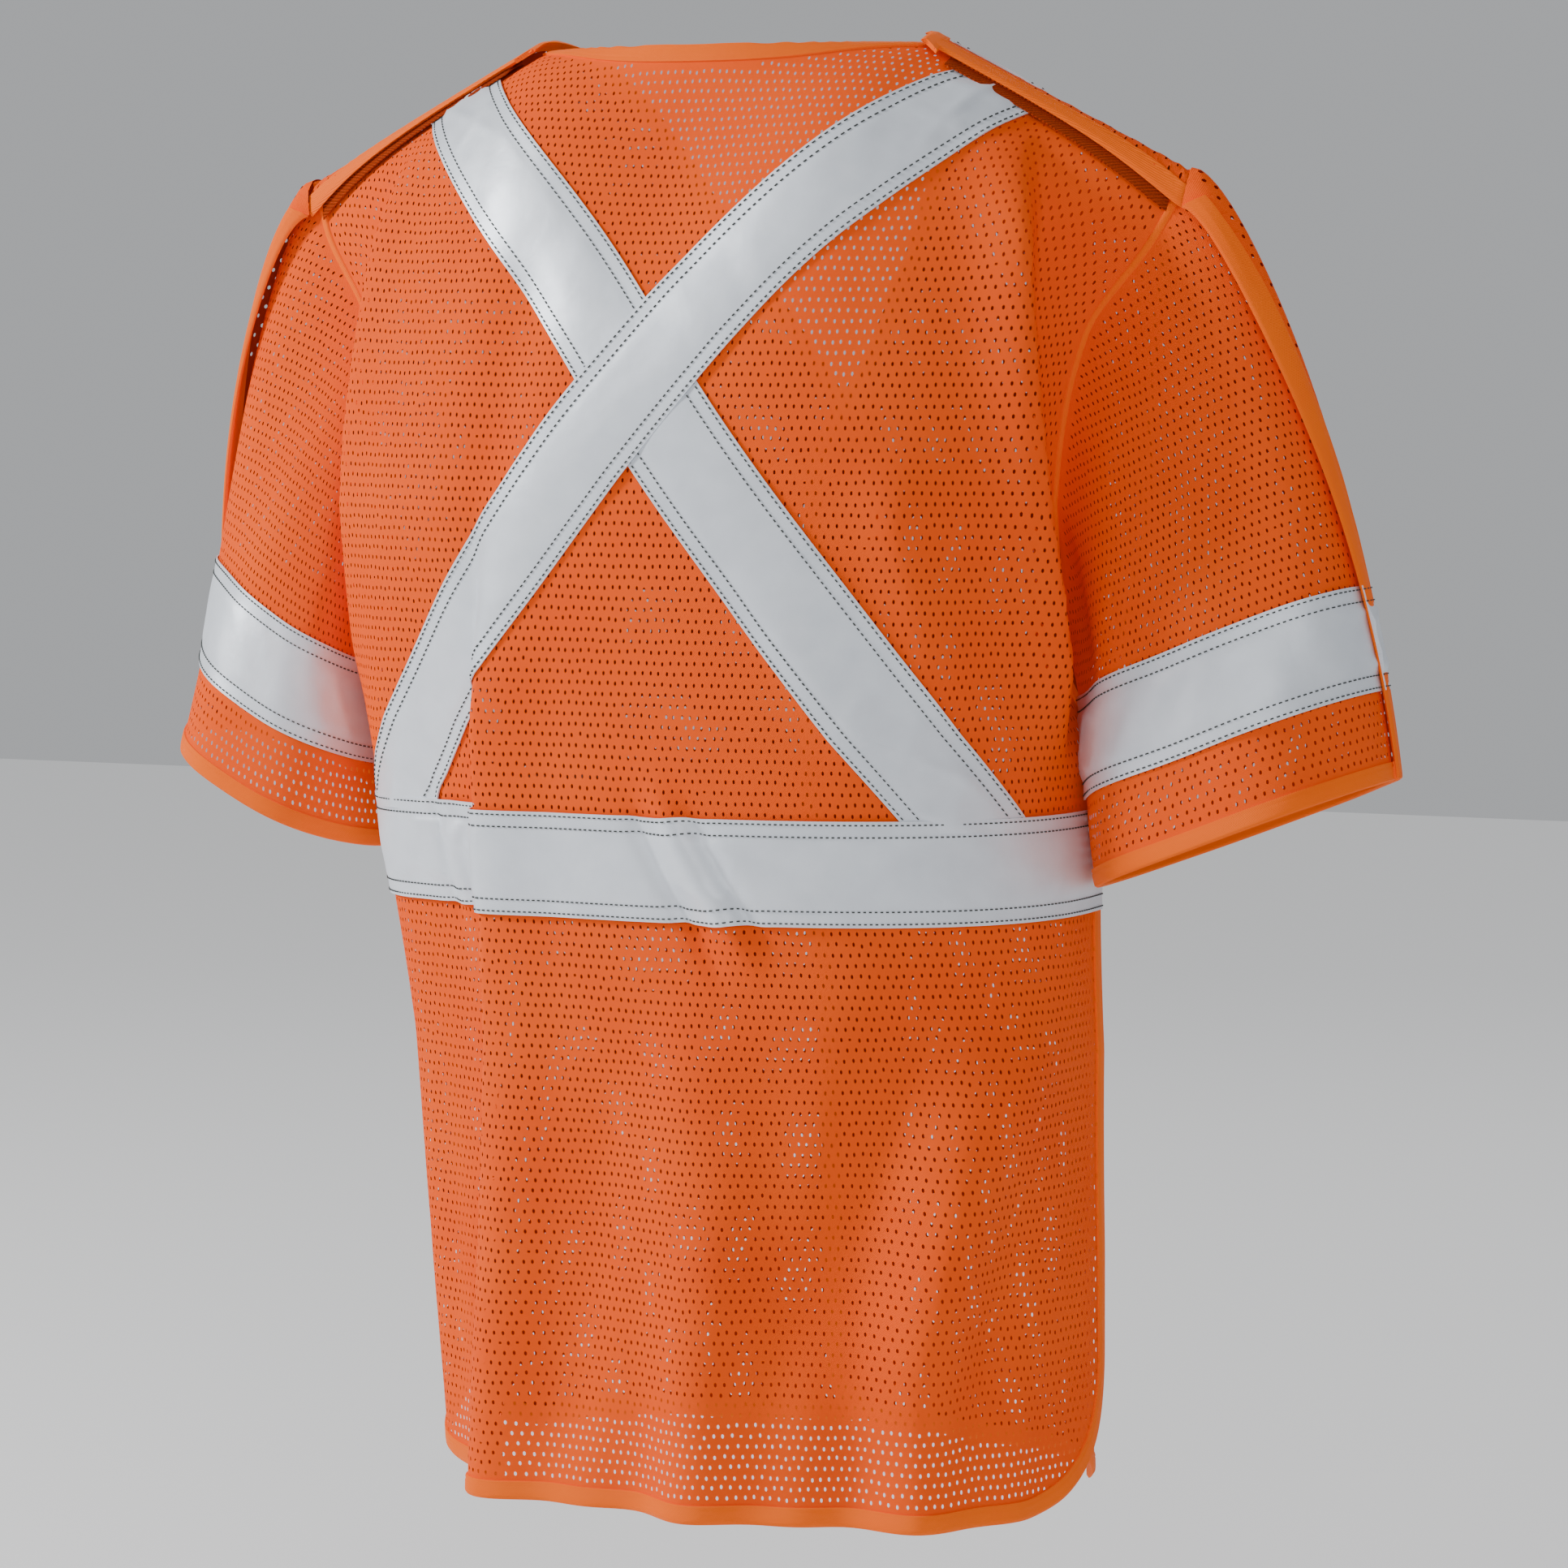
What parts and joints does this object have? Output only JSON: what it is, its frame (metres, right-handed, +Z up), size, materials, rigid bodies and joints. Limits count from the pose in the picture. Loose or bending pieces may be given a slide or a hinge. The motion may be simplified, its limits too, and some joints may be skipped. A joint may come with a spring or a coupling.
{
  "type": "high visibility vest",
  "caption": "Short-sleeved orange mesh safety vest with reflective bands, crossed back straps and hook-and-loop breakaway shoulders, sides and front.",
  "frame": {"origin": "on the centre line at the high point of the shoulders, where the vest hangs on its wearer", "axes": "+Z up, -Y towards the wearer's front, +X towards the wearer's left"},
  "size_m": [0.67, 0.2664, 0.7191],
  "materials": {
    "mesh_cloth": "knitted polyester mesh",
    "edge_binding": "woven twill binding",
    "reflective_tape": "smooth retroreflective silver",
    "hook_and_loop": "napped pile",
    "tab_webbing": "woven webbing"
  },
  "bodies": {
    "back": {"back_panel": "mesh_cloth", "neck_binding": "edge_binding", "back_edge_binding": "edge_binding", "back_strap_under": "reflective_tape", "back_strap_over": "reflective_tape", "back_waist_band": "reflective_tape", "left_shoulder_loop": "hook_and_loop", "left_side_loop": "hook_and_loop", "left_sleeve_back_panel": "mesh_cloth", "left_sleeve_back_tape": "reflective_tape", "left_sleeve_back_hem_binding": "edge_binding", "right_shoulder_loop": "hook_and_loop", "right_side_loop": "hook_and_loop", "right_sleeve_back_panel": "mesh_cloth", "right_sleeve_back_tape": "reflective_tape", "right_sleeve_back_hem_binding": "edge_binding"},
    "left_front": {"left_front_panel": "mesh_cloth", "left_front_side_binding": "edge_binding", "left_front_neck_binding": "edge_binding", "left_front_shoulder_binding": "edge_binding", "left_front_strap": "reflective_tape", "left_front_band": "reflective_tape", "left_shoulder_hook": "hook_and_loop", "left_side_hook": "hook_and_loop", "left_mic_tab": "tab_webbing", "left_sleeve_front_panel": "mesh_cloth", "left_sleeve_front_tape": "reflective_tape", "left_sleeve_front_hem_binding": "edge_binding", "left_sleeve_front_top_binding": "edge_binding"},
    "left_flap": {"left_flap_panel": "mesh_cloth", "left_flap_binding": "edge_binding", "left_flap_band": "reflective_tape", "left_closure_hook": "hook_and_loop"},
    "right_front": {"right_front_panel": "mesh_cloth", "right_front_side_binding": "edge_binding", "right_front_neck_binding": "edge_binding", "right_front_shoulder_binding": "edge_binding", "right_front_strap": "reflective_tape", "right_front_band": "reflective_tape", "right_shoulder_hook": "hook_and_loop", "right_side_hook": "hook_and_loop", "right_mic_tab": "tab_webbing", "right_sleeve_front_panel": "mesh_cloth", "right_sleeve_front_tape": "reflective_tape", "right_sleeve_front_hem_binding": "edge_binding", "right_sleeve_front_top_binding": "edge_binding"},
    "right_flap": {"right_flap_panel": "mesh_cloth", "right_flap_binding": "edge_binding", "right_flap_band": "reflective_tape", "right_closure_loop": "hook_and_loop"}
  },
  "joints": [
    {"name": "left_front_peel", "type": "slide", "parent": "back", "child": "left_front", "axis": [0, -1, 0], "range_m": [0, 0.25]},
    {"name": "right_front_peel", "type": "slide", "parent": "back", "child": "right_front", "axis": [0, -1, 0], "range_m": [0, 0.25]},
    {"name": "left_front_open", "type": "hinge", "parent": "left_front", "child": "left_flap", "pos_m": [0.0777, -0.11475, -0.46805], "axis": [-0.0669, -0.0356, 0.9971], "range_deg": [0, 100]},
    {"name": "right_front_open", "type": "hinge", "parent": "right_front", "child": "right_flap", "pos_m": [-0.0777, -0.11475, -0.46805], "axis": [-0.0669, 0.0356, -0.9971], "range_deg": [0, 60]}
  ],
  "couplings": [
    {"joint": "right_front_peel", "follows": "left_front_peel", "ratio": 1},
    {"joint": "right_front_open", "follows": "left_front_open", "ratio": 0.5}
  ]
}
